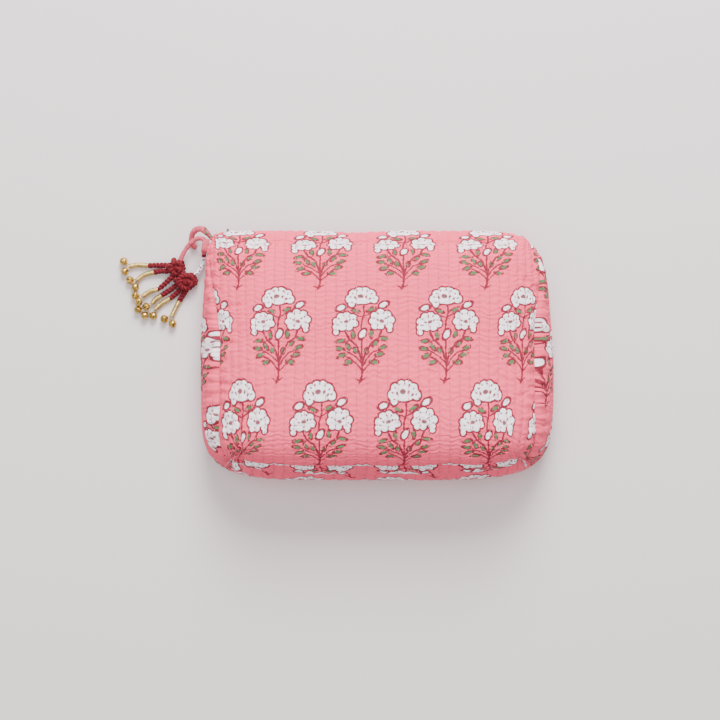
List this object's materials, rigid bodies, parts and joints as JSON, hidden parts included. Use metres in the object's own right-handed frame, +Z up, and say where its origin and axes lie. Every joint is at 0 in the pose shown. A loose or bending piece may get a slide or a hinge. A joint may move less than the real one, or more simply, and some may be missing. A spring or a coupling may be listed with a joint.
{
  "type": "makeup bag",
  "caption": "Quilted printed-cotton makeup pouch lying on its back, with a wedge shape, a boxed base, a zip along its top edge and a fabric-cord pull ending in belled tassels.",
  "frame": {"origin": "middle of the flat back panel, on which the pouch lies", "axes": "+X across the pouch to the open end of the zip, +Y towards the zip, +Z up through its thickness"},
  "size_m": [0.2972, 0.1734, 0.059],
  "materials": {
    "printed_cotton": "matt quilted cotton, pink with a white, crimson and green floral print",
    "wadding": "soft cotton wadding",
    "lining_cotton": "plain woven cotton lining",
    "binding_cotton": "bias-cut cotton binding",
    "zip_tape": "woven polyester tape",
    "zip_coil": "moulded nylon coil",
    "slider_metal": "antique brass plated zinc",
    "cord_cotton": "turned tube of the printed cotton",
    "crimson_yarn": "thick twisted cotton yarn",
    "metallic_thread": "wound pale gold metallic thread",
    "bell_brass": "polished brass, darkened in the creases",
    "pellet_steel": "plain steel"
  },
  "bodies": {
    "bag": {"outer_front": "printed_cotton", "outer_back": "printed_cotton", "wadding_front": "wadding", "wadding_back": "wadding", "lining_front": "lining_cotton", "lining_back": "lining_cotton", "seam_binding": "binding_cotton", "zip_tape_back": "zip_tape", "zip_coil_back": "zip_coil", "zip_bottom_stop": "slider_metal"},
    "front_lip": {"band_front": "printed_cotton", "band_wadding": "wadding", "band_lining": "lining_cotton", "zip_tape_front": "zip_tape", "zip_coil_front": "zip_coil"},
    "slider": {"slider_body": "slider_metal", "slider_bridge": "slider_metal"},
    "pull": {"pull_loop": "cord_cotton", "pull_cord": "cord_cotton", "pull_keeper": "cord_cotton"},
    "tassel_1": {"tassel_head_1": "crimson_yarn", "strand_a": "crimson_yarn", "strand_b": "crimson_yarn", "strand_c": "crimson_yarn", "sleeve_a": "metallic_thread", "sleeve_b": "metallic_thread", "sleeve_c": "metallic_thread", "bell_a1": "bell_brass", "bell_a2": "bell_brass", "bell_b1": "bell_brass", "bell_b2": "bell_brass", "bell_c1": "bell_brass", "bell_c2": "bell_brass", "pellet_a1": "pellet_steel", "pellet_a2": "pellet_steel", "pellet_b1": "pellet_steel", "pellet_b2": "pellet_steel", "pellet_c1": "pellet_steel", "pellet_c2": "pellet_steel"},
    "tassel_2": {"tassel_head_2": "crimson_yarn", "strand_d": "crimson_yarn", "strand_e": "crimson_yarn", "strand_f": "crimson_yarn", "sleeve_d": "metallic_thread", "sleeve_e": "metallic_thread", "sleeve_f": "metallic_thread", "bell_d1": "bell_brass", "bell_d2": "bell_brass", "bell_e1": "bell_brass", "bell_e2": "bell_brass", "bell_f1": "bell_brass", "bell_f2": "bell_brass", "pellet_d1": "pellet_steel", "pellet_d2": "pellet_steel", "pellet_e1": "pellet_steel", "pellet_e2": "pellet_steel", "pellet_f1": "pellet_steel", "pellet_f2": "pellet_steel"}
  },
  "joints": [
    {"name": "zip_slide", "type": "slide", "parent": "bag", "child": "slider", "axis": [1, 0, 0], "range_m": [0, 0.19], "deforming": ["pull_loop", "pull_cord", "pull_keeper", "tassel_head_1", "tassel_head_2", "strand_a", "strand_b", "strand_c", "strand_d", "strand_e", "strand_f", "sleeve_a", "sleeve_b", "sleeve_c", "sleeve_d", "sleeve_e", "sleeve_f"]},
    {"name": "pull_swing", "type": "hinge", "parent": "slider", "child": "pull", "pos_m": [-0.102, 0.0836, 0.013], "axis": [0, 0, -1], "range_deg": [0, 200]},
    {"name": "tassel_1_swing", "type": "hinge", "parent": "pull", "child": "tassel_1", "pos_m": [-0.136, 0.065, 0.005], "axis": [0, 0, -1], "range_deg": [0, 30]},
    {"name": "tassel_2_swing", "type": "hinge", "parent": "pull", "child": "tassel_2", "pos_m": [-0.1265, 0.0555, 0.005], "axis": [0, 0, 1], "range_deg": [0, 20]},
    {"name": "front_lip_fold", "type": "hinge", "parent": "bag", "child": "front_lip", "pos_m": [0, 0.07735, 0.0263], "axis": [1, 0, 0], "range_deg": [0, 95]}
  ],
  "couplings": [
    {"joint": "pull_swing", "follows": "zip_slide", "rad_per_m": 18.3}
  ]
}
